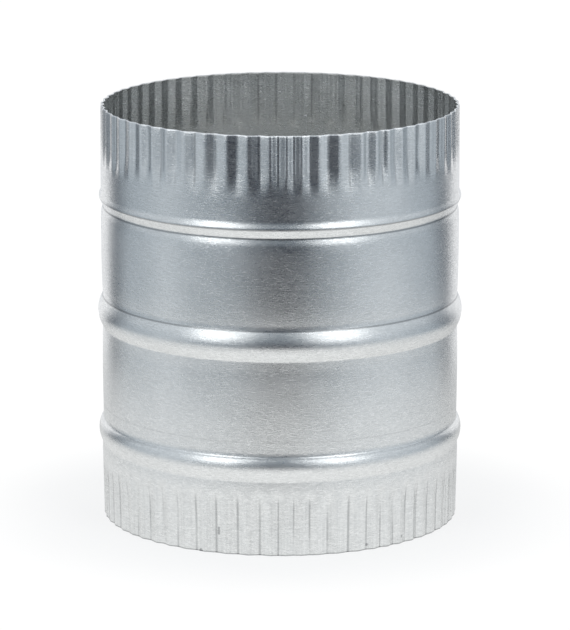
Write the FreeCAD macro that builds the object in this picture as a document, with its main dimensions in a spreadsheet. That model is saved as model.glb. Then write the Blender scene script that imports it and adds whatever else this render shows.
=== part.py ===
# Round sheet-metal duct connector: a short sleeve rolled from one strip of galvanised steel.
#
# Both ends are crimped with a row of pressed flutes, so each end slips inside the duct it joins.
# Three rolled rings lie between them: a joggle that stops the upper duct, a wide stiffening bead
# at mid height and a narrower bead that stops the lower duct.
# Frame: origin at the centre of the lower rim, Z up along the axis, Y away from the viewer.
# The lap of the rolled strip runs up the inside of the wall, a little to one side of the back.
import FreeCAD
import Part

import math
import os

import Sketcher

Vector = FreeCAD.Vector
doc = FreeCAD.newDocument("duct_connector")

# Driving dimensions, in millimetres and degrees

body_diameter = 152.4
overall_height = 177.8
sheet_thickness = 0.55

# the three rolled rings, by their heights above the lower rim
lower_bead_height = 38
lower_bead_rise = 1.4
lower_bead_radius = 9.3
middle_bead_height = 89.7
middle_bead_rise = 1.5
middle_bead_radius = 16
joggle_height = 136.8
joggle_step = 3.9
joggle_slope = 3.3
joggle_ridge_rise = 0.85
joggle_groove_depth = 0.75

# the flutes of the two crimped ends, with crests and troughs as shares of the pitch
flute_count = 60
crest_share = 0.3
trough_share = 0.3
crest_press = 0.05
run_out_length = 5
upper_flute_length = 24.5
upper_flute_depth = 1.2
upper_end_taper = 0.1
lower_flute_length = 27
lower_flute_depth = 1
lower_end_taper = 0.6

# the lap of the rolled strip: its direction from the X axis, seen from above, and its width
lap_direction = 82.3
lap_width = 4

# The sheet that the sketch and the crimps read

sizes = doc.addObject("Spreadsheet::Sheet", "sizes")
sheet_rows = [
    ("body_diameter", body_diameter),
    ("overall_height", overall_height),
    ("sheet_thickness", sheet_thickness),
    ("lower_bead_height", lower_bead_height),
    ("lower_bead_rise", lower_bead_rise),
    ("lower_bead_radius", lower_bead_radius),
    ("middle_bead_height", middle_bead_height),
    ("middle_bead_rise", middle_bead_rise),
    ("middle_bead_radius", middle_bead_radius),
    ("joggle_height", joggle_height),
    ("joggle_step", joggle_step),
    ("joggle_slope", joggle_slope),
    ("joggle_ridge_rise", joggle_ridge_rise),
    ("joggle_groove_depth", joggle_groove_depth),
    ("flute_count", flute_count),
    ("crest_share", crest_share),
    ("trough_share", trough_share),
    ("crest_press", crest_press),
    ("run_out_length", run_out_length),
    ("upper_flute_length", upper_flute_length),
    ("upper_flute_depth", upper_flute_depth),
    ("upper_end_taper", upper_end_taper),
    ("lower_flute_length", lower_flute_length),
    ("lower_flute_depth", lower_flute_depth),
    ("lower_end_taper", lower_end_taper),
    ("lap_direction", lap_direction),
    ("lap_width", lap_width),
]
for row, (name, number) in enumerate(sheet_rows, 1):
    sizes.set(f"A{row}", name)
    sizes.set(f"B{row}", str(number))
    sizes.setAlias(f"B{row}", name)
doc.recompute()


def value(name):
    """Read one driving dimension back from the sheet."""
    return float(sizes.get(name))


body_radius = value("body_diameter") / 2
thickness = value("sheet_thickness")
upper_flute_start = value("overall_height") - value("upper_flute_length")
lower_flute_start = value("lower_flute_length")
lap_angle = math.radians(value("lap_direction"))

# The beaded wall: its outside line, revolved and then shelled to the thickness of the sheet

wall = doc.addObject("PartDesign::Body", "beaded_wall")
outline = wall.newObject("Sketcher::SketchObject", "wall_outline")
origin_planes = {item.Role: item for item in wall.Origin.OriginFeatures}
outline.AttachmentSupport = [(origin_planes["XZ_Plane"], "")]
outline.MapMode = "FlatFace"

# each rolled bead is turned as this many short slopes along its arc
BEAD_SLOPES = 5

BODY = "sizes.body_diameter / 2"
GROOVE = "sizes.joggle_height - sizes.joggle_step / 2"
RIDGE = "sizes.joggle_height + sizes.joggle_step / 2"
UPPER_START = "sizes.overall_height - sizes.upper_flute_length"


def bead_corners(name):
    """List the corners of a bead's arc, from its lower root to its upper, as two expressions each."""
    rise, radius = f"sizes.{name}_rise", f"sizes.{name}_radius"
    half_turn = f"acos(1 - {rise} / {radius})"
    corners = []
    for step in range(BEAD_SLOPES + 1):
        turn = f"{2 * step / BEAD_SLOPES - 1} * {half_turn}"
        corners.append((f"{BODY} + {rise} - {radius} * (1 - cos({turn}))",
                        f"sizes.{name}_height + {radius} * sin({turn})"))
    return corners


# the corners of the outline in order, each as the expressions of its radius and height
corners = [("0 mm", "sizes.lower_flute_length"), (BODY, "sizes.lower_flute_length")]
corners += bead_corners("lower_bead")
corners += bead_corners("middle_bead")
corners += [
    (BODY, f"{GROOVE} - sizes.joggle_slope"),
    (f"{BODY} - sizes.joggle_groove_depth", GROOVE),
    (f"{BODY} + sizes.joggle_ridge_rise", RIDGE),
    (BODY, f"{RIDGE} + sizes.joggle_slope"),
    (BODY, UPPER_START),
    ("0 mm", UPPER_START),
]
places = [tuple(float(sizes.evalExpression(text)) for text in corner) for corner in corners]

# in a constraint, point 1 of a line is its start and point 2 its end, and -1, 1 is the origin
lines = []
for (x0, z0), (x1, z1) in zip(places, places[1:] + places[:1]):
    lines.append(outline.addGeometry(Part.LineSegment(Vector(x0, z0, 0), Vector(x1, z1, 0))))
for one, following in zip(lines, lines[1:] + lines[:1]):
    outline.addConstraint(Sketcher.Constraint("Coincident", one, 2, following, 1))
for line, corner, place in zip(lines, corners, places):
    for kind, expression, number in zip(("DistanceX", "DistanceY"), corner, place):
        if number:
            fixed = outline.addConstraint(
                Sketcher.Constraint(kind, -1, 1, line, 1, number))
            outline.setExpression(f"Constraints[{fixed}]", expression)
        else:
            outline.addConstraint(Sketcher.Constraint("Vertical", -1, 1, line, 1))

turned = wall.newObject("PartDesign::Revolution", "turned_wall")
turned.Profile = outline
turned.ReferenceAxis = (outline, ["V_Axis"])
turned.Angle = 360
doc.recompute()


def end_faces(shape):
    """Name the flat discs that close a turned shape at its two ends."""
    flat = [(face.CenterOfMass.z, f"Face{number}") for number, face in enumerate(shape.Faces, 1)
            if isinstance(face.Surface, Part.Plane)]
    return [min(flat)[1], max(flat)[1]]


shelled = wall.newObject("PartDesign::Thickness", "shelled_wall")
shelled.Base = (turned, end_faces(turned.Shape))
shelled.setExpression("Value", "sizes.sheet_thickness")
shelled.Join = "Intersection"
shelled.Reversed = True
doc.recompute()

# The crimped ends: flutes pressed into the sheet, each running out in a slanted end


def fluted_outline(crest, depth, height):
    """Make a closed outline of flutes, with a crest in line with the lap of the sheet."""
    count = round(value("flute_count"))
    pitch = 2 * math.pi / count
    half_crest = pitch * value("crest_share") / 2
    half_trough = pitch * value("trough_share") / 2
    points = []
    for flute in range(count):
        middle = lap_angle + flute * pitch
        for angle, radius in ((middle - half_crest, crest),
                              (middle + half_crest, crest),
                              (middle + pitch / 2 - half_trough, crest - depth),
                              (middle + pitch / 2 + half_trough, crest - depth)):
            points.append(Vector(radius * math.cos(angle), radius * math.sin(angle), height))
    return Part.makePolygon(points + points[:1])


def crimp_form(inset, end, overshoot):
    """Make the solid pieces of a crimp's outline, standing on z = 0, inset from the outside.

    The cone at the foot gives the flutes their slanted ends. A form that cuts reaches past
    both ends by its overshoot.
    """
    depth, taper = value(f"{end}_flute_depth"), value(f"{end}_end_taper")
    length = value(f"{end}_flute_length")
    foot_radius = body_radius - inset
    crest = foot_radius - value("crest_press")
    cone_top = foot_radius - depth - taper - 2 * value("crest_press")
    reach = 1 + overshoot / length
    narrowed = 1 - reach * taper / body_radius
    flutes = Part.makeLoft([fluted_outline(crest, depth, 0),
                            fluted_outline(crest * narrowed, depth, length * reach)], True, True)
    pieces = [Part.makeCone(foot_radius, cone_top, value("run_out_length")), flutes]
    if overshoot:
        pieces.append(Part.makeCylinder(foot_radius, overshoot, Vector(0, 0, -overshoot)))
    return pieces


def place_end(shape, end):
    """Stand a crimp made on z = 0 on the upper end of the wall, or hang it from the lower."""
    if end == "upper":
        shape.translate(Vector(0, 0, upper_flute_start))
        return shape
    hung = shape.mirror(Vector(), Vector(0, 0, 1))
    hung.translate(Vector(0, 0, lower_flute_start))
    return hung


# how far a cutting form reaches past what it cuts
OVERSHOOT = 1


def crimp(end):
    """Make one crimped end: the outside form less the same form set in by the sheet."""
    outside, *more = crimp_form(0, end, 0)
    inside, *more_inside = crimp_form(thickness, end, OVERSHOOT)
    return place_end(outside.fuse(more).cut(inside.fuse(more_inside)), end)


upper_crimp = doc.addObject("Part::Feature", "upper_crimp")
upper_crimp.Shape = crimp("upper")
lower_crimp = doc.addObject("Part::Feature", "lower_crimp")
lower_crimp.Shape = crimp("lower")

# The lap: a second layer of sheet against the inside of the wall, from rim to rim

lap_turn = math.degrees(value("lap_width") / body_radius)


def in_lap(shape, base_height, height):
    """Keep what lies in the narrow sector where the rolled strip laps over itself."""
    sector = Part.makeCylinder(2 * body_radius, height, Vector(0, 0, base_height),
                               Vector(0, 0, 1), lap_turn)
    sector.rotate(Vector(), Vector(0, 0, 1), value("lap_direction") - lap_turn / 2)
    return shape.common(sector)


def lap_in_wall():
    """Make the lap's stretch in the beaded wall: twice the sheet, less its outside layer."""
    plug = turned.Shape
    ends = [plug.getElement(name) for name in end_faces(plug)]
    height = upper_flute_start - lower_flute_start
    doubled, single = (in_lap(plug.makeThickness(ends, -layers * thickness, 0.001, False, False,
                                                 0, 2), lower_flute_start, height)
                       for layers in (2, 1))
    return doubled.cut(single)


def lap_in_crimp(end):
    """Make the lap's stretch in one crimp: the form set in once, less the form set in twice."""
    length = value(f"{end}_flute_length")
    outside = [in_lap(piece, 0, length) for piece in crimp_form(thickness, end, 0)]
    inside = [in_lap(piece, -OVERSHOOT, length + 2 * OVERSHOOT)
              for piece in crimp_form(2 * thickness, end, OVERSHOOT)]
    return place_end(outside[0].fuse(outside[1:]).cut(inside[0].fuse(inside[1:])), end)


laps = []
for name, shape in (("wall_lap", lap_in_wall()),
                    ("upper_lap", lap_in_crimp("upper")),
                    ("lower_lap", lap_in_crimp("lower"))):
    lap = doc.addObject("Part::Feature", name)
    lap.Shape = shape
    laps.append(lap)

# The connector is one piece of sheet, so everything joins into one solid

connector = doc.addObject("Part::MultiFuse", "connector_sleeve")
connector.Shapes = [wall, upper_crimp, lower_crimp, *laps]
connector.Label = "connector_sleeve"
doc.recompute()

sub_parts = [connector]

for item in doc.Objects:
    if {"Invalid", "Error"} & set(item.State):
        raise RuntimeError(f"{item.Name} did not build")
for item in sub_parts:
    if item.Shape.isNull() or not item.Shape.isValid() or len(item.Shape.Solids) != 1:
        raise RuntimeError(f"{item.Label} is not one sound solid")

os.makedirs("parts", exist_ok=True)
for item in sub_parts:
    item.Shape.exportStep(f"parts/{item.Label}.step")
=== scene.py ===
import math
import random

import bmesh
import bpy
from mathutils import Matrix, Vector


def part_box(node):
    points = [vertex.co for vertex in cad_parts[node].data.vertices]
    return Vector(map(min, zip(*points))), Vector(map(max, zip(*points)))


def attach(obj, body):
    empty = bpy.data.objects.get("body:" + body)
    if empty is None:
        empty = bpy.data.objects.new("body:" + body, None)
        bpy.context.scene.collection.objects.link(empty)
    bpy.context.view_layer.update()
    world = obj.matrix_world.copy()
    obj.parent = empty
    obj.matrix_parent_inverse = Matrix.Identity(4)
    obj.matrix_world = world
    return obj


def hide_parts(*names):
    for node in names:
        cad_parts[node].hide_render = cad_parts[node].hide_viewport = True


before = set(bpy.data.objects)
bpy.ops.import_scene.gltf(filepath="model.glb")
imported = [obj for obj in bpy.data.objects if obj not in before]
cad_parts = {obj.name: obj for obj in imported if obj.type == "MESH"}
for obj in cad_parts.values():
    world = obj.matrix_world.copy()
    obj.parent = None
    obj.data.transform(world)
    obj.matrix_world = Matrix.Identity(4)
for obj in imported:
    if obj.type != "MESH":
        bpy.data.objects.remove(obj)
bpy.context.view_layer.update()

# %% [markdown]
# # A round duct connector in galvanised sheet
#
# The real object is a short sleeve, rolled from one strip of zinc-coated steel and lapped along
# a single seam. Both ends are crimped with sixty pressed flutes, so that each end slips inside a
# duct. Three rings are rolled into the wall between them: a joggle near the top, a wide bead at
# mid height and a narrower bead near the bottom. The lesson shapes one flute's worth of wall,
# copies it round the axis, makes the copies a little uneven as a crimping tool leaves them, and
# gives the sheet its thickness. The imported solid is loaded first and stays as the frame.

far_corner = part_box("connector_sleeve")[1]
MM = 0.001
BODY_RADIUS = 76.2 * MM
print(f"packed solid: {2 * far_corner[0] / MM:.1f} mm across its widest ring, "
      f"{far_corner[2] / MM:.1f} mm high")

# %% [markdown]
# ## The line of the wall
#
# The rings are turned shapes, so one line from the lower rim to the upper describes them all. It
# is a list of heights and of how far the sheet stands out of, or is drawn in from, the plain
# body. Points lie close together where a roller leaves a sharp crease, at the foot of each bead
# and along the joggle, and far apart on the plain bands. The body is drawn in by a few tenths of
# a millimetre beside the beads, because a bead takes up sheet as it is rolled. Both crimped ends
# taper a little towards their rims, which helps them into a duct.

# %% The heights and offsets of the wall, in millimetres
LOWER_CRIMP = [0, 4, 8.5, 13, 16.5, 19.5, 22, 24, 25.5, 26.6]
LOWER_WALL = [
    (27.8, 0), (31.3, -0.06), (32.2, -0.1), (32.8, 0.12), (33.7, 0.6), (34.9, 1.05), (36.1, 1.32),
    (37.3, 1.4), (38.5, 1.34), (39.7, 1.1), (40.7, 0.76), (41.4, 0.36), (41.8, -0.02),
    (42.1, -0.3), (42.6, -0.45), (44.2, -0.46), (48, -0.42), (54, -0.34), (62, -0.26),
    (70, -0.26), (77, -0.33),
]
MIDDLE_WALL = [
    (82.6, -0.44), (83.1, -0.4), (83.5, -0.18), (84, 0.1), (84.7, 0.48), (85.8, 0.9), (87, 1.22),
    (88.4, 1.43), (89.4, 1.5), (90.5, 1.42), (91.8, 1.18), (93, 0.82), (94, 0.44), (94.8, 0.06),
    (95.3, -0.2), (95.65, -0.4), (96.1, -0.54), (98.2, -0.42), (101, -0.29), (105, -0.17),
    (112, -0.06),
]
UPPER_WALL = [
    (128, 0), (131.4, -0.03), (132.4, -0.18), (133.4, -0.41), (134.3, -0.69), (134.7, -0.75),
    (135.2, -0.68), (136, -0.32), (137.1, 0.16), (138, 0.54), (138.5, 0.78), (138.85, 0.85),
    (139.3, 0.79), (139.9, 0.58), (140.6, 0.26), (141.4, 0.04), (142.2, 0), (148, 0),
]
UPPER_CRIMP = [151.5, 153, 154.5, 156.3, 158.5, 161, 163.5, 169, 174]
RIM = [(177.1, -0.1), (177.4, -0.14), (177.8, -0.33)]

LOWER_PRESS = 1.0
UPPER_PRESS = 1.2
LOWER_TAPER = 0.5
UPPER_TAPER = 0.1
UPPER_TAPER_LENGTH = 26
LOWER_FLUTE_TOP = 27.5
UPPER_FLUTE_FOOT = 151.5
RUN_OUT = 11.5
HALFWAY = 90  # rows under this height belong to the lower end

line = [(height, -LOWER_TAPER * (1 - height / LOWER_WALL[0][0])) for height in LOWER_CRIMP]
line += LOWER_WALL + MIDDLE_WALL + UPPER_WALL
line += [(height, -UPPER_TAPER * (height - UPPER_FLUTE_FOOT) / UPPER_TAPER_LENGTH)
         for height in UPPER_CRIMP]
line += RIM
print(f"the line of the wall has {len(line)} points")

# %% [markdown]
# ## One flute, from rim to rim
#
# A flute is a fold of the sheet: a crest that keeps the body's radius and a trough pressed in
# beside it. A whole ring would have to be selected sixty times over, so a narrow strip of wall,
# one flute wide, is made first. It starts as an arc cut from a circle and is extruded row by row
# up the line of the wall, and each new row is scaled about the axis to its own radius. The lap
# of the sleeve is at the back, and the strip is made there.

# %% Small helpers that select in edit mode
FLUTES = 60
COLUMNS = 10
PITCH = 2 * math.pi / FLUTES
STRIP_HALF = 0.51 * PITCH  # a hair over half a pitch, so that both edges of the strip stay
SEAM = math.radians(82.3)


def only(piece):
    """Deselect everything, then make this piece the selected and active one."""
    bpy.ops.object.select_all(action="DESELECT")
    piece.select_set(True)
    bpy.context.view_layer.objects.active = piece


def choose(piece, wanted):
    """Select in edit mode the vertices whose places the given test accepts, and no others."""
    sheet = bmesh.from_edit_mesh(piece.data)
    for part in (*sheet.verts, *sheet.edges, *sheet.faces):
        part.select = False
    for vertex in sheet.verts:
        if wanted(vertex.co):
            vertex.select = True
    sheet.select_flush(True)
    bmesh.update_edit_mesh(piece.data)


def from_seam(place):
    """Measure how far round the axis a place lies from the seam, from -pi to pi."""
    turn = math.atan2(place.y, place.x) - SEAM
    return (turn + math.pi) % (2 * math.pi) - math.pi


def scale_about_axis(factor):
    """Bring the selection nearer to the axis, or take it further out."""
    bpy.ops.transform.resize(value=(factor, factor, 1), center_override=(0, 0, 0))


# %% The strip of wall, one flute wide
first_radius = BODY_RADIUS + line[0][1] * MM
bpy.ops.object.select_all(action="DESELECT")
bpy.ops.mesh.primitive_circle_add(vertices=FLUTES * COLUMNS, radius=first_radius,
                                  rotation=(0, 0, SEAM - math.pi / 2))
sleeve = bpy.context.object
sleeve.name = sleeve.data.name = "crimped_sleeve"
bpy.ops.object.transform_apply(rotation=True)
bpy.ops.object.mode_set(mode="EDIT")
choose(sleeve, lambda place: abs(from_seam(place)) > STRIP_HALF)
bpy.ops.mesh.delete(type="VERT")
bpy.ops.mesh.select_all(action="SELECT")
radius, height = first_radius, 0
for row_height, offset in line[1:]:
    rise = row_height * MM - height
    bpy.ops.mesh.extrude_region_move(TRANSFORM_OT_translate={"value": (0, 0, rise)})
    scale_about_axis((BODY_RADIUS + offset * MM) / radius)
    radius, height = BODY_RADIUS + offset * MM, row_height * MM
print(f"the strip has {len(bmesh.from_edit_mesh(sleeve.data).faces)} faces")

# %% [markdown]
# ## Pressing the flute
#
# The trough is pressed in column by column. The numbers below say how deep each column goes,
# from the middle of the crest to the middle of the trough: two straight flanks meet in a slightly
# rounded fold, as a crimping wheel leaves them. Towards the body the flute runs out over about a
# centimetre, so each row there takes only its share of the depth.

# %% How deep each column and each row is pressed
FLANK = [0, 0.16, 0.39, 0.61, 0.84, 1]


def share_of_depth(row_height):
    """Give the share of the full depth at a height: none at the flute's end, all near the rim."""
    if row_height < HALFWAY:
        inwards = LOWER_FLUTE_TOP - row_height
    else:
        inwards = row_height - UPPER_FLUTE_FOOT
    along = min(max(inwards / RUN_OUT, 0), 1)
    return 0.7 * along + 0.3 * along * along * (3 - 2 * along)


for row_height, offset in line:
    share = share_of_depth(row_height)
    if share == 0:
        continue
    depth = (LOWER_PRESS if row_height < HALFWAY else UPPER_PRESS) * share * MM
    row_radius = BODY_RADIUS + offset * MM
    for column, flank in enumerate(FLANK):
        if flank == 0:
            continue
        turn = column * PITCH / COLUMNS
        choose(sleeve, lambda place: abs(place.z - row_height * MM) < 1e-5
               and abs(abs(from_seam(place)) - turn) < PITCH / COLUMNS / 4)
        scale_about_axis(1 - depth * flank / row_radius)
print(f"flutes pressed {UPPER_PRESS} mm deep above and {LOWER_PRESS} mm below")

# %% [markdown]
# ## Sixty flutes round the axis
#
# The strip is modelled once and spun round the axis as separate copies, whose edges meet. The
# doubled edges are then merged, which closes the ring, and the normals are recalculated, because
# a spin may leave a surface facing inwards.

# %% Copy the strip round and join the copies
bpy.ops.mesh.select_all(action="SELECT")
bpy.ops.mesh.spin(steps=FLUTES - 1, dupli=True, angle=PITCH * (FLUTES - 1),
                  center=(0, 0, 0), axis=(0, 0, 1))
bpy.ops.mesh.select_all(action="SELECT")
bpy.ops.mesh.remove_doubles(threshold=0.02 * MM)
bpy.ops.mesh.select_all(action="SELECT")
bpy.ops.mesh.normals_make_consistent(inside=False)
shell = bmesh.from_edit_mesh(sleeve.data)
shell.faces.ensure_lookup_table()
sample = shell.faces[0]
if sample.normal.dot(sample.calc_center_median() * Vector((1, 1, 0))) < 0:
    bpy.ops.mesh.flip_normals()
print(f"the ring has {len(shell.verts)} points and {len(shell.faces)} faces")

# %% [markdown]
# ## A mark for the folds
#
# The zinc is darkened along the bottom of each trough, partly by painted shade in the fold and
# partly by dirt. The material has to know where that is, also after the flutes have been moved,
# so the points at the bottom of every trough carry an attribute of the mesh. It is 1 there and 0
# elsewhere, and fades over one face between them.

# %% Mark the bottoms of the troughs
bpy.ops.object.mode_set(mode="OBJECT")
fold = sleeve.data.attributes.new("fold", "FLOAT", "POINT")
for vertex in sleeve.data.vertices:
    column = (from_seam(vertex.co) / PITCH * COLUMNS) % COLUMNS
    fold.data[vertex.index].value = 1 if abs(column - COLUMNS / 2) < 0.5 else 0
print(f"{sum(mark.value for mark in fold.data):.0f} points lie at the bottom of a trough")
bpy.ops.object.mode_set(mode="EDIT")

# %% [markdown]
# ## The unevenness of real crimps
#
# No two pressed flutes are alike: one is deeper, its neighbour is wider, and they stop at
# slightly different heights. Each flute of each end gets three small moves of its own, from a
# seeded list of random numbers so that every run gives the same sleeve: its trough is pressed
# deeper or eased, its crest is turned a little sideways, and its run-out is moved up or down.
# The flutes at the front drifted, as they may where a crimping tool comes round to its start:
# most are deeper than those elsewhere, some of them wider too, and three are narrower and
# shallower. Each column of points is turned about the axis by its share of that drift, which
# leaves the plain wall as round as it was.

# %% List the columns of points, flute by flute
chance = random.Random(7)
REACH = {"crest": 2.3, "trough": 2.6}  # columns to either side that move with a middle one
ZONES = ((-1, 20, 15, 25), (160, 178, 152.5, 162))  # rows by the rim, from and to, and run-out
DRIFT = {26: 0.6, 27: 1.5, 28: 2.6, 29: 3.8, 30: 4.7, 31: 3.6, 32: 2.4, 33: 1.7, 34: 2.2, 35: 3.7,
         36: 3.0, 37: 2.2, 38: 1.4, 39: 0.7, 40: 0}


def columns_by_flute(piece, nearest, floor, ceiling):
    """List by flute the vertices between two heights that are near its crest or its trough."""
    shell = bmesh.from_edit_mesh(piece.data)
    found = [[] for _ in range(FLUTES)]
    for vertex in shell.verts:
        if floor * MM < vertex.co.z < ceiling * MM:
            along = (from_seam(vertex.co) / PITCH) % FLUTES
            flute = int(along + 0.5) % FLUTES if nearest == "crest" else int(along)
            middle = flute if nearest == "crest" else flute + 0.5
            away = abs((along - middle + FLUTES / 2) % FLUTES - FLUTES / 2) * COLUMNS
            if away < REACH[nearest]:
                found[flute].append(vertex.index)
    return found


def pick(piece, numbers):
    """Select in edit mode the vertices of these numbers, and no others."""
    bpy.ops.mesh.select_all(action="DESELECT")
    shell = bmesh.from_edit_mesh(piece.data)
    shell.verts.ensure_lookup_table()
    for number in numbers:
        shell.verts[number].select = True
    shell.select_flush(True)
    bmesh.update_edit_mesh(piece.data)


def turn_about_axis(angle):
    """Turn the selection about the axis, anticlockwise as seen from above."""
    bpy.ops.transform.rotate(value=-angle, orient_axis="Z", center_override=(0, 0, 0))


bmesh.from_edit_mesh(sleeve.data).verts.index_update()
columns = [[] for _ in range(FLUTES * COLUMNS)]
for vertex in bmesh.from_edit_mesh(sleeve.data).verts:
    columns[round(from_seam(vertex.co) / PITCH * COLUMNS) % len(columns)].append(vertex.index)
ends = [[columns_by_flute(sleeve, "trough", floor, ceiling),
         columns_by_flute(sleeve, "crest", floor, ceiling),
         columns_by_flute(sleeve, "trough", run_low, run_high)]
        for floor, ceiling, run_low, run_high in ZONES]
print(f"{len(columns)} columns of {len(columns[0])} points")

# %% Let the flutes at the front drift
for flute in range(min(DRIFT), max(DRIFT)):
    for step in range(COLUMNS):
        share = step / COLUMNS
        turn = DRIFT[flute] * (1 - share) + DRIFT[flute + 1] * share
        pick(sleeve, columns[flute * COLUMNS + step])
        turn_about_axis(math.radians(turn))
print(f"{len(DRIFT) - 1} flutes drifted by up to {max(DRIFT.values())} degrees")

# %% Give each flute its own depth, width and length
FRONT = 31
FRONT_REACH = 8
NARROW = (30, 31, 32)
NARROW_EASED = 0.35
OTHERS_EASED = 0.25
DEPTH_SPREAD = 0.16
TURN_SPREAD = 0.1
RUN_OUT_MOVES = (-0.6, 1.3)


def eased_by(flute):
    """Give how much shallower a flute is than the deep ones at the front, in millimetres."""
    if flute in NARROW:
        return NARROW_EASED
    return OTHERS_EASED if abs(flute - FRONT) > FRONT_REACH else 0


for end in ends:
    for flute, (trough, crest, run_out) in enumerate(zip(*end)):
        pick(sleeve, trough)
        deeper = chance.uniform(-DEPTH_SPREAD, DEPTH_SPREAD) - eased_by(flute)
        scale_about_axis(1 - deeper * MM / BODY_RADIUS)
        pick(sleeve, crest)
        turn_about_axis(chance.uniform(-TURN_SPREAD, TURN_SPREAD) * PITCH / 2)
        pick(sleeve, run_out)
        bpy.ops.transform.translate(value=(0, 0, chance.uniform(*RUN_OUT_MOVES) * MM))
bpy.ops.object.mode_set(mode="OBJECT")
print(f"{2 * FLUTES} flutes made uneven")

# %% [markdown]
# ## The lap of the strip
#
# The two ends of the rolled strip overlap and are joined on the inside of the wall. The lap is a
# second layer of the same sheet, so its faces are a narrow copy of the wall, set in by the
# sheet's thickness. Both layers get their thickness from the same kind of modifier, whose rim is
# given the second material slot: it is the bright cut edge of the sheet. The narrow turned-in lip
# at the top gets it too.

# %% The lap, then the thickness of both layers
SHEET = 0.55 * MM
LAP_COLUMNS = 2.2
LAP_SET_IN = 0.98 * SHEET  # a hair less than the sheet, so that the two layers touch
LIP_FOOT = 177.5 * MM
SMOOTH_UP_TO = math.radians(40)

bpy.ops.object.mode_set(mode="EDIT")
choose(sleeve, lambda place: abs(from_seam(place)) < PITCH * LAP_COLUMNS / COLUMNS)
bpy.ops.mesh.duplicate()
bpy.ops.mesh.separate(type="SELECTED")
bpy.ops.object.mode_set(mode="OBJECT")
lap = next(item for item in bpy.context.selected_objects if item != sleeve)
lap.name = lap.data.name = "lap"
only(lap)
bpy.ops.object.mode_set(mode="EDIT")
bpy.ops.mesh.select_all(action="SELECT")
scale_about_axis(1 - LAP_SET_IN / BODY_RADIUS)
bpy.ops.object.mode_set(mode="OBJECT")

zinc = bpy.data.materials.new("galvanised_zinc")
cut_edge = bpy.data.materials.new("cut_edge")
for layer in (sleeve, lap):
    layer.data.materials.append(zinc)
    layer.data.materials.append(cut_edge)
    only(layer)
    thickness = layer.modifiers.new("thickness", "SOLIDIFY")
    thickness.thickness = SHEET
    thickness.offset = -1
    thickness.material_offset_rim = 1
    bpy.ops.object.modifier_apply(modifier="thickness")
only(sleeve)
lap.select_set(True)
bpy.ops.object.join()
for face in sleeve.data.polygons:
    if face.center.z > LIP_FOOT:
        face.material_index = 1
bpy.ops.object.shade_smooth_by_angle(angle=SMOOTH_UP_TO)
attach(sleeve, "root")
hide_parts("connector_sleeve")
print(f"the sleeve has {sum(len(face.vertices) - 2 for face in sleeve.data.polygons)} triangles")

# %% [markdown]
# ## Writing finishes as sums
#
# A finish is a tree of nodes, which is long to write out one link at a time. The class below
# wraps one socket, so that a sum such as `1 - grain * 0.2` adds its Math nodes by itself. Any
# other node comes from its one method, which takes the type, the settings and the sockets.

# %% A socket that can be reckoned with
class Wire:
    """One output of a node tree. Sums on it add Math nodes to the same tree."""

    def __init__(self, tree, socket=None):
        self.tree = tree
        self.socket = socket

    def node(self, kind, settings=None, sockets=None, output=0):
        """Add a node: settings first, then its sockets, and give back one of its outputs."""
        added = self.tree.nodes.new(kind)
        for name, setting in (settings or {}).items():
            if name == "stops":
                ramp = added.color_ramp.elements
                while len(ramp) < len(setting):
                    ramp.new(0.5)
                for stop, (position, shade) in zip(ramp, setting):
                    stop.position = position
                    stop.color = (*shade, 1) if isinstance(shade, tuple) else (shade,) * 3 + (1,)
            else:
                setattr(added, name, setting)
        for name, content in (sockets or {}).items():
            if isinstance(content, Wire):
                self.tree.links.new(content.socket, added.inputs[name])
            else:
                added.inputs[name].default_value = content
        if not added.outputs:
            return added
        return Wire(self.tree, added.outputs[output])

    def math(self, operation, *numbers):
        """Add a Math node with these values or links in its sockets, in order."""
        return self.node("ShaderNodeMath", {"operation": operation}, dict(enumerate(numbers)))

    def __add__(self, other):
        return self.math("ADD", self, other)

    def __radd__(self, other):
        return self.math("ADD", other, self)

    def __sub__(self, other):
        return self.math("SUBTRACT", self, other)

    def __rsub__(self, other):
        return self.math("SUBTRACT", other, self)

    def __mul__(self, other):
        return self.math("MULTIPLY", self, other)

    def __rmul__(self, other):
        return self.math("MULTIPLY", other, self)

    def between(self, start, end):
        """Rise smoothly from 0 to 1 as this value goes from start to end."""
        return self.node("ShaderNodeMapRange", {"interpolation_type": "SMOOTHSTEP"},
                         {"Value": self, "From Min": start, "From Max": end})

    def blend(self, first, second):
        """Mix two colours, with this value as the share of the second."""
        # The node's colours are its sockets 6 and 7, and the mixed colour is its output 2.
        return self.node("ShaderNodeMix", {"data_type": "RGBA"},
                         {"Factor": self, 6: first, 7: second}, output=2)


def empty_tree(owner):
    """Clear the nodes of a material or world and give back a wire to build on."""
    owner.use_nodes = True
    owner.node_tree.nodes.clear()
    return Wire(owner.node_tree)


print("sockets can be added, subtracted and multiplied")

# %% [markdown]
# ## The zinc
#
# Hot-dipped and rolled zinc is a satin metal: its reflections are broken up by a fine, slightly
# wavy grain that lies mostly across the sheet, by broad cloudy patches, and by fine draw lines
# that the crimping wheels left along the flutes. All of it is noise on the object's own
# coordinates. A noise squeezed in height gives marks that run round the sleeve on every side,
# and one stretched in height gives marks that run along it, so no seam shows anywhere. On top
# comes painted shade: thin dark lines at the upper root of the middle bead, under the joggle's
# ridge, in its groove and along the lower rim. A faint dark line runs round the lower wall, and
# there are six small dark nicks and patchy dark lines along the bottoms of the troughs, partly
# painted shade in the folds and partly dirt.

# %% The galvanised finish
DULL_ZINC = (0.455, 0.465, 0.463, 1)
BRIGHT_ZINC = (0.77, 0.783, 0.778, 1)
DARK_ZINC = (0.16, 0.165, 0.17, 1)
RING_SHADE_SHARE, NICK_SHARE, TROUGH_SHADE_AND_DIRT_SHARE = 0.6, 0.55, 0.5

start = empty_tree(zinc)
place = start.node("ShaderNodeTexCoord", output="Object")


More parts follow.
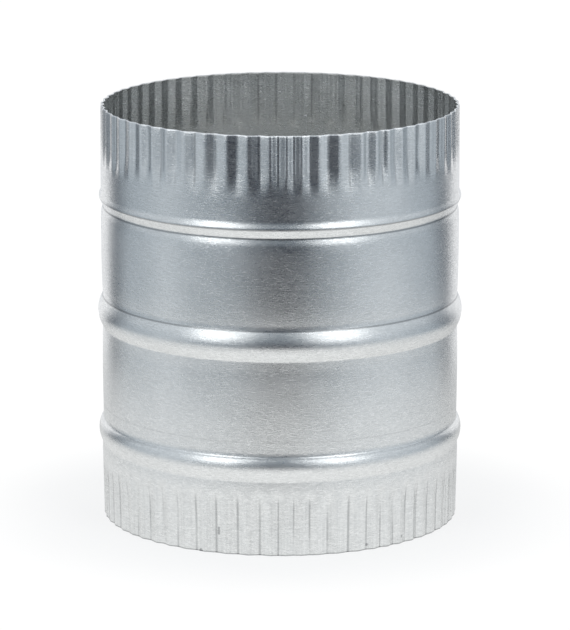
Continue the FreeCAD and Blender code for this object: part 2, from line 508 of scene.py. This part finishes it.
def noise(scale, stretch, detail=2, roughness=0.5, distortion=0.0):
    """Give a noise on the sleeve, in cells per metre, with its height scaled on its own."""
    stretched = place.node("ShaderNodeMapping", None,
                           {"Vector": place, "Scale": (1, 1, stretch)})
    return place.node("ShaderNodeTexNoise", None,
                      {"Vector": stretched, "Scale": scale, "Detail": detail,
                       "Roughness": roughness, "Distortion": distortion})


height = place.node("ShaderNodeSeparateXYZ", None, {"Vector": place}, output="Z")
squiggle = noise(460, 5.6, detail=3, roughness=0.6, distortion=1.2)
cloud = noise(28, 1.6, detail=3)
draw_lines = noise(1100, 0.02, detail=1)
trough_patches = noise(90, 0.35, detail=2)
crimped = 1 - height.between(20 * MM, 27 * MM) + height.between(152 * MM, 159 * MM)

grain = squiggle.between(0.3, 0.7)
patch = cloud.between(0.3, 0.7)
tone = 0.4 + grain * 0.5 + patch * 0.1 - crimped * (1 - draw_lines.between(0.3, 0.6)) * 0.14


def crease(middle, width):
    """Be 1 in a thin line round the sleeve at a height, in millimetres, and 0 beside it."""
    off = height.math("ABSOLUTE", height - middle * MM)
    return 1 - off.between(width * 0.3 * MM, width * MM)


def spot(x, y, z, radius):
    """Be 1 inside a small spot at a place on the wall, in millimetres, and 0 outside it."""
    far = place.node("ShaderNodeVectorMath", {"operation": "DISTANCE"},
                     {0: place, 1: (x * MM, y * MM, z * MM)}, output="Value")
    return 1 - far.between(radius * 0.5 * MM, radius * MM)


# Painted shade: thin dark lines round the sleeve where shade falls, at the upper root of the
# middle bead, under the joggle's ridge, in its groove and along the lower rim, plus a faint dark
# line on the lower wall at 48.6 mm
painted_ring_shade = (crease(95.75, 0.5) + crease(138.5, 0.5) + crease(134.6, 0.6) + crease(48.6, 0.5) * 0.2
           + crease(0, 0.7))
nicks = (spot(-32.8, -67.5, 0.4, 1.2) + spot(36.3, -65.8, 2.2, 0.9) + spot(50.9, -55.3, 3, 0.9)
         + spot(-25.5, -70.9, 10.8, 0.8) + spot(-25.5, -70.9, 9.7, 0.8)
         + spot(-25.5, -70.9, 8.6, 0.8))
fold_mark = place.node("ShaderNodeAttribute", {"attribute_name": "fold"}, output="Fac")
# Painted shade in the folds at the bottoms of the troughs, mixed with patchy dirt, in both crimped
# ends
trough_shade_and_dirt = fold_mark.between(0.1, 1) * crimped * trough_patches.between(0.36, 0.62)
clean = tone.blend(DULL_ZINC, BRIGHT_ZINC)
# The painted shade lines, the nicks and the troughs' painted shade and dirt pull the zinc towards
# DARK_ZINC
dark = painted_ring_shade * RING_SHADE_SHARE + nicks * NICK_SHARE + trough_shade_and_dirt * TROUGH_SHADE_AND_DIRT_SHARE
colour = dark.blend(clean, DARK_ZINC)
roughness = 0.23 + (1 - grain) * 0.09 + patch * 0.04
relief = squiggle * 0.7 + draw_lines * crimped * 0.5 + cloud * 1.5
bump = place.node("ShaderNodeBump", None,
                  {"Strength": 0.75, "Distance": 0.12 * MM, "Height": relief})
surface = place.node("ShaderNodeBsdfPrincipled", None,
                     {"Base Color": colour, "Metallic": 1.0, "Roughness": roughness,
                      "Normal": bump})
place.node("ShaderNodeOutputMaterial", None, {"Surface": surface})
print(f"the zinc has {len(zinc.node_tree.nodes)} nodes")

# %% [markdown]
# ## The cut edge
#
# Where the strip was sheared, the rim shows bare bright steel with the fine marks of the blade.
# Up close they are scratches, but on an edge half a millimetre thick a very fine noise is enough.
# Without the zinc's grain the metal is paler, and these marks make it rougher.

# %% The bare rim
DULL_STEEL = (0.74, 0.75, 0.75, 1)
BRIGHT_STEEL = (0.9, 0.91, 0.91, 1)

start = empty_tree(cut_edge)
place = start.node("ShaderNodeTexCoord", output="Object")
shear_marks = noise(1500, 1, detail=2)
rim_colour = shear_marks.between(0.35, 0.65).blend(DULL_STEEL, BRIGHT_STEEL)
rim_bump = place.node("ShaderNodeBump", None,
                      {"Strength": 0.3, "Distance": 0.05 * MM, "Height": shear_marks})
rim = place.node("ShaderNodeBsdfPrincipled", None,
                 {"Base Color": rim_colour, "Metallic": 1.0, "Roughness": shear_marks * 0.2 + 0.45,
                  "Normal": rim_bump})
place.node("ShaderNodeOutputMaterial", None, {"Surface": rim})
print(f"the cut edge has {len(cut_edge.node_tree.nodes)} nodes")

# %% [markdown]
# ## The table and the room
#
# Metal looks like what stands round it. Here the sleeve stands on a sheet of white paper that
# reaches about 30 cm from it. Beyond lies a room that is dark on the camera's side, pale at the
# sides and palest behind, with a narrow dark band in between. So the lower part of the wall
# mirrors the paper and the upper part the room. The room is two ramps of brightness round the
# horizon, one near the floor and one higher up. The paper has a ramp of its own, and past its
# edge mirrored rays see the lower ramp of the room. The camera itself sees plain white.

# %% The brightness of the room and the paper, by degrees from the camera's direction
LOW_ROOM = [(-180, 0.7), (-166, 0.85), (-152, 1.2), (-137, 1.15), (-130, 0.1), (-119, 0.1),
            (-113, 0.54), (-90, 0.56), (-76, 0.72), (-65, 0.68), (-54, 0.4), (-22, 0.28),
            (-13, 0.01), (13, 0.01), (22, 0.22), (36, 0.34), (48, 0.6), (66, 0.74), (78, 0.7),
            (90, 0.56), (113, 0.54), (119, 0.1), (130, 0.1), (137, 1.15), (152, 1.2),
            (166, 0.85), (180, 0.7)]
HIGH_ROOM = [(-180, 0.7), (-152, 1.2), (-137, 1.15), (-130, 0.25), (-119, 0.25), (-113, 0.8),
             (-65, 0.8), (-54, 0.45), (-22, 0.34), (-13, 0.2), (13, 0.2), (22, 0.34), (48, 0.55),
             (65, 0.8), (113, 0.8), (119, 0.25), (130, 0.25), (137, 1.15), (152, 1.2), (180, 0.7)]
PAPER = [(-180, 0.64), (-165, 0.72), (-148, 0.84), (-130, 0.94), (-105, 1.06), (-65, 1.1),
         (-36, 1.2), (36, 1.2), (65, 1.1), (95, 1.04), (110, 0.94), (130, 0.84), (148, 0.76),
         (165, 0.68), (180, 0.64)]


def tinted(level, cool):
    """Make a colour of a level of brightness: the dimmer it is, the bluer."""
    red = level * (1 - cool * (0.2 - 0.17 * level))
    blue = level * (1 + cool * (0.16 - 0.13 * level)) + cool * 0.012
    return red, level, blue


def round_the_sleeve(start, x, y, levels, cool=1):
    """Give the brightness in the direction of x and y; the azimuth is 0 towards the camera."""
    azimuth = start.math("ARCTAN2", x, -1 * y) * (0.5 / math.pi) + 0.5
    stops = [(turn / 360 + 0.5, tinted(level, cool)) for turn, level in levels]
    return start.node("ShaderNodeValToRGB", {"stops": stops}, {"Fac": azimuth})


def axes(start, vector):
    """Split a vector into wires for x, y and z."""
    parts = start.node("ShaderNodeSeparateXYZ", None, {"Vector": vector}).socket.node.outputs
    return [Wire(start.tree, part) for part in parts]


def rays(start):
    """Give wires that are 1 for the camera's own rays, and for mirrored ones."""
    kinds = start.node("ShaderNodeLightPath").socket.node.outputs
    return Wire(start.tree, kinds["Is Camera Ray"]), Wire(start.tree, kinds["Is Glossy Ray"])


# %% The paper under the sleeve
PAPER_EDGE = 0.325
EDGE_BLUR = 0.05
PAPER_WHITE = (0.9, 0.9, 0.895, 1)
SEEN_WHITE = (1.03, 1.03, 1.03, 1)
GLOW_BY_THE_SLEEVE = 0.74  # the rest is light that falls on the paper, which keeps the shadow
GLOW_MIRRORED = 0.84

bpy.ops.object.select_all(action="DESELECT")
bpy.ops.mesh.primitive_plane_add(size=14, location=(0, 0, 0))
paper = bpy.context.object
paper.name = "paper"
paper_finish = bpy.data.materials.new("white_paper")
paper.data.materials.append(paper_finish)
start = empty_tree(paper_finish)
place = start.node("ShaderNodeTexCoord", output="Object")
x, y, _ = axes(start, place)
seen, mirrored = rays(start)
away = start.math("POWER", x * x + y * y, 0.5)
beyond = away.between(PAPER_EDGE - EDGE_BLUR, PAPER_EDGE + EDGE_BLUR)
far = away.between(0.08, 0.16)
white = start.node("ShaderNodeBsdfDiffuse", None, {"Color": PAPER_WHITE})
sheet = seen.blend(round_the_sleeve(start, x, y, PAPER, cool=0), SEEN_WHITE)
glow = start.node("ShaderNodeEmission", None, {"Color": sheet, "Strength": 1.0})
dim = start.node("ShaderNodeEmission", None,
                 {"Color": round_the_sleeve(start, x, y, LOW_ROOM), "Strength": 1.0})
share = (seen * (GLOW_BY_THE_SLEEVE + far * (1 - GLOW_BY_THE_SLEEVE))
         + mirrored * GLOW_MIRRORED)
lit = start.node("ShaderNodeMixShader", None, {0: share, 1: white, 2: glow})
floor_surface = start.node("ShaderNodeMixShader", None, {0: mirrored * beyond, 1: lit, 2: dim})
start.node("ShaderNodeOutputMaterial", None, {"Surface": floor_surface})
print(f"paper to {PAPER_EDGE} m round the sleeve, room beyond")

# %% The room round it
CEILING = (0.21, 0.235, 0.26, 1)
SEEN_ROOM = (1, 1, 1, 1)

room = bpy.data.worlds.new("studio")
bpy.context.scene.world = room
start = empty_tree(room)
direction = start.node("ShaderNodeTexCoord", output="Generated")
x, y, z = axes(start, direction)
seen, _ = rays(start)
overhead = z.between(0.85, 0.97)
walls = z.between(0, 0.25).blend(round_the_sleeve(start, x, y, LOW_ROOM),
                                 round_the_sleeve(start, x, y, HIGH_ROOM))
lined = overhead.blend(walls, CEILING)
background = start.node("ShaderNodeBackground", None,
                        {"Color": seen.blend(lined, SEEN_ROOM), "Strength": 1.0})
start.node("ShaderNodeOutputWorld", None, {"Surface": background})
print("the room is dark towards the camera and palest behind the sleeve")

# %% [markdown]
# ## The soft boxes
#
# Two tall lamps stand in front, left and right of the camera and above it, and leave a gap
# between them. They light the slopes that look up: the upper half of each bead and of the
# joggle. The gap is the dark patch in the middle of every ring.

# %% Place the lamps and aim them at the sleeve
MIDDLE_OF_SLEEVE = Vector((0, 0, 0.09))
LAMP_ELEVATION = 31
LAMP_DISTANCE = 1.2
LAMP_TALL = 1.04


def soft_box(name, azimuth, width, power):
    """Hang a soft box at a direction from the sleeve, facing it."""
    turn, climb = math.radians(azimuth), math.radians(LAMP_ELEVATION)
    away = Vector((math.sin(turn) * math.cos(climb), -math.cos(turn) * math.cos(climb),
                   math.sin(climb)))
    lamp = bpy.data.lights.new(name, "AREA")
    lamp.shape = "RECTANGLE"
    lamp.size = width
    lamp.size_y = LAMP_TALL
    lamp.energy = power
    hung = bpy.data.objects.new(name, lamp)
    bpy.context.collection.objects.link(hung)
    hung.location = MIDDLE_OF_SLEEVE + away * LAMP_DISTANCE
    hung.rotation_euler = away.to_track_quat("Z", "Y").to_euler()
    hung.visible_camera = False
    print(f"{name}: {width} by {LAMP_TALL} m, {power} W")


soft_box("left_soft_box", -39.5, 0.58, 3.5)
soft_box("right_soft_box", 38, 0.56, 3.4)

# %% [markdown]
# ## The camera
#
# The photograph was taken with a long lens from about two metres, a little above the sleeve and
# looking down by thirteen degrees. These numbers come from fitting the ellipses of both rims and
# of the rings to the photograph.

# %% Place the camera
LONG_SIDE = 630  # of the picture, in its own dots
LOOKING_DOWN = 13.013

view = bpy.data.cameras.new("camera")
view.sensor_width = 36
view.lens = 261.9
view.shift_x = 5 / LONG_SIDE
view.shift_y = 0.6 / LONG_SIDE
camera = bpy.data.objects.new("camera", view)
bpy.context.collection.objects.link(camera)
camera.location = (0, -1.9113, 0.5270)
camera.rotation_euler = (math.radians(90 - LOOKING_DOWN), 0, 0)
bpy.context.scene.camera = camera
bpy.context.scene.view_settings.view_transform = "Standard"
print(f"camera {camera.location.length:.2f} m from the sleeve, {view.lens:.1f} mm lens")
